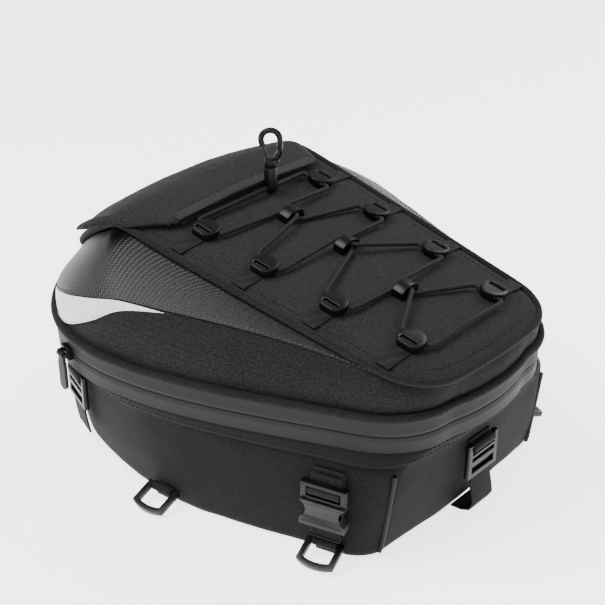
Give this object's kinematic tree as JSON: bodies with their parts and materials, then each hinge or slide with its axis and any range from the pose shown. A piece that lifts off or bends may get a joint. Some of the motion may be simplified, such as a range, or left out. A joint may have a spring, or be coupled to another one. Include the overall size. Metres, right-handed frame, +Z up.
{
  "type": "motorcycle tail bag",
  "caption": "Padded zipped tail bag with a clamshell lid, front flap, elastic cord lacing with a swivel hook, D-rings and side-release buckles.",
  "frame": {"origin": "middle of the flat base, on the surface it rests on", "axes": "+X towards the narrow end, +Y to the left side, +Z up"},
  "size_m": [0.3796, 0.3414, 0.2335],
  "materials": {
    "base_fabric": "matte woven",
    "board": "matte",
    "body_fabric": "matte woven",
    "lid_fabric": "matte woven",
    "top_fabric": "matte woven",
    "piping": "matte",
    "binding": "ribbed woven",
    "zip_tape": "smooth coated",
    "zip_coil": "matte",
    "slider_metal": "black",
    "pull_rubber": "smooth",
    "embossed_trim": "embossed twill, coated",
    "reflective_film": "silver, reflective",
    "hook_and_loop": "hook and loop",
    "buckle_plastic": "satin",
    "hardware_plastic": "satin",
    "elastic": "braided",
    "webbing": "woven"
  },
  "bodies": {
    "lower_body": {"base_panel": "base_fabric", "base_board": "board", "side_wall": "body_fabric", "hem_binding": "binding", "corner_piping": "piping", "zip_tape_lower": "zip_tape", "zip_coil_lower": "zip_coil", "zip_slider": "slider_metal", "ring_webbing_left_front": "webbing", "ring_webbing_left_middle": "webbing", "ring_webbing_right_front": "webbing", "ring_webbing_right_middle": "webbing", "buckle_socket_left": "buckle_plastic", "buckle_socket_right": "buckle_plastic", "buckle_strap_left": "webbing", "buckle_strap_right": "webbing", "adjuster_webbing_front": "webbing", "adjuster_webbing_rear_left": "webbing", "adjuster_webbing_rear_right": "webbing", "strap_front": "webbing", "strap_rear_left": "webbing", "strap_rear_right": "webbing"},
    "lid": {"lid_wall": "lid_fabric", "top_panel": "top_fabric", "top_piping": "piping", "lid_piping": "piping", "zip_tape_upper": "zip_tape", "zip_coil_upper": "zip_coil", "trim_left": "embossed_trim", "trim_right": "embossed_trim", "reflector_left": "reflective_film", "reflector_right": "reflective_film", "panel_loop_tape": "hook_and_loop", "anchor_webbing": "webbing", "anchors_left": "hardware_plastic", "anchors_right": "hardware_plastic", "cross_clips": "hardware_plastic", "elastic_cord": "elastic"},
    "flap": {"flap": "top_fabric", "flap_binding": "binding", "flap_hook_tape": "hook_and_loop"},
    "zip_pull": {"zip_pull": "pull_rubber"},
    "d_ring_left_front": {"d_ring_left_front": "hardware_plastic"},
    "d_ring_left_middle": {"d_ring_left_middle": "hardware_plastic"},
    "d_ring_right_front": {"d_ring_right_front": "hardware_plastic"},
    "d_ring_right_middle": {"d_ring_right_middle": "hardware_plastic"},
    "plug_left": {"buckle_plug_left": "hardware_plastic", "plug_webbing_left": "webbing"},
    "plug_right": {"buckle_plug_right": "hardware_plastic", "plug_webbing_right": "webbing"},
    "adjuster_front": {"adjuster_front": "hardware_plastic"},
    "adjuster_rear_left": {"adjuster_rear_left": "hardware_plastic"},
    "adjuster_rear_right": {"adjuster_rear_right": "hardware_plastic"},
    "hook_barrel": {"hook_barrel": "hardware_plastic"},
    "hook": {"hook_body": "hardware_plastic"},
    "hook_gate": {"hook_gate": "hardware_plastic"}
  },
  "joints": [
    {"name": "lid_hinge", "type": "hinge", "parent": "lower_body", "child": "lid", "pos_m": [-0.1862, 0, 0.098], "axis": [0, -1, 0], "range_deg": [0, 85]},
    {"name": "flap_fold", "type": "hinge", "parent": "lid", "child": "flap", "pos_m": [-0.1282, 0, 0.161], "axis": [0, -1, 0], "range_deg": [0, 70]},
    {"name": "zip_pull_tilt", "type": "hinge", "parent": "lower_body", "child": "zip_pull", "pos_m": [-0.08516, -0.16426, 0.098], "axis": [-0.9873, 0.1586, 0], "range_deg": [0, 130]},
    {"name": "d_ring_left_front_lift", "type": "hinge", "parent": "lower_body", "child": "d_ring_left_front", "pos_m": [0.1311, 0.11526, 0.011], "axis": [0.9678, -0.2519, 0], "range_deg": [0, 45]},
    {"name": "d_ring_right_front_lift", "type": "hinge", "parent": "lower_body", "child": "d_ring_right_front", "pos_m": [0.1311, -0.11526, 0.011], "axis": [-0.9678, -0.2519, 0], "range_deg": [0, 45]},
    {"name": "d_ring_left_middle_lift", "type": "hinge", "parent": "lower_body", "child": "d_ring_left_middle", "pos_m": [0.00236, 0.14913, 0.011], "axis": [0.9965, -0.0838, 0], "range_deg": [0, 80]},
    {"name": "d_ring_right_middle_lift", "type": "hinge", "parent": "lower_body", "child": "d_ring_right_middle", "pos_m": [0.00236, -0.14913, 0.011], "axis": [-0.9965, -0.0838, 0], "range_deg": [0, 80]},
    {"name": "buckle_plug_left_slide", "type": "slide", "parent": "lower_body", "child": "plug_left", "axis": [-0.003, -0.0107, 0.9999], "range_m": [0, 0.016]},
    {"name": "buckle_plug_right_slide", "type": "slide", "parent": "lower_body", "child": "plug_right", "axis": [-0.003, 0.0107, 0.9999], "range_m": [0, 0.016]},
    {"name": "adjuster_front_tilt", "type": "hinge", "parent": "lower_body", "child": "adjuster_front", "pos_m": [0.17708, 0, 0.058], "axis": [0, -1, 0], "range_deg": [0, 35]},
    {"name": "adjuster_rear_left_tilt", "type": "hinge", "parent": "lower_body", "child": "adjuster_rear_left", "pos_m": [-0.09788, 0.14255, 0.066], "axis": [0.9409, 0.3388, 0], "range_deg": [0, 35]},
    {"name": "adjuster_rear_right_tilt", "type": "hinge", "parent": "lower_body", "child": "adjuster_rear_right", "pos_m": [-0.09788, -0.14255, 0.066], "axis": [-0.9409, 0.3388, 0], "range_deg": [0, 35]},
    {"name": "hook_tilt", "type": "hinge", "parent": "lid", "child": "hook_barrel", "pos_m": [-0.043, 0.016, 0.18501], "axis": [0, 1, 0], "range_deg": [-18, 55]},
    {"name": "hook_swivel", "type": "hinge", "parent": "hook_barrel", "child": "hook", "pos_m": [-0.043, 0.016, 0.20231], "axis": [0, 0, 1], "continuous": true},
    {"name": "hook_gate_push", "type": "hinge", "parent": "hook", "child": "hook_gate", "pos_m": [-0.04493, 0.01426, 0.2098], "axis": [-0.6691, 0.7431, 0], "range_deg": [0, 20], "stiffness_Nm_per_rad": 0.01, "springref_deg": -5.73}
  ]
}
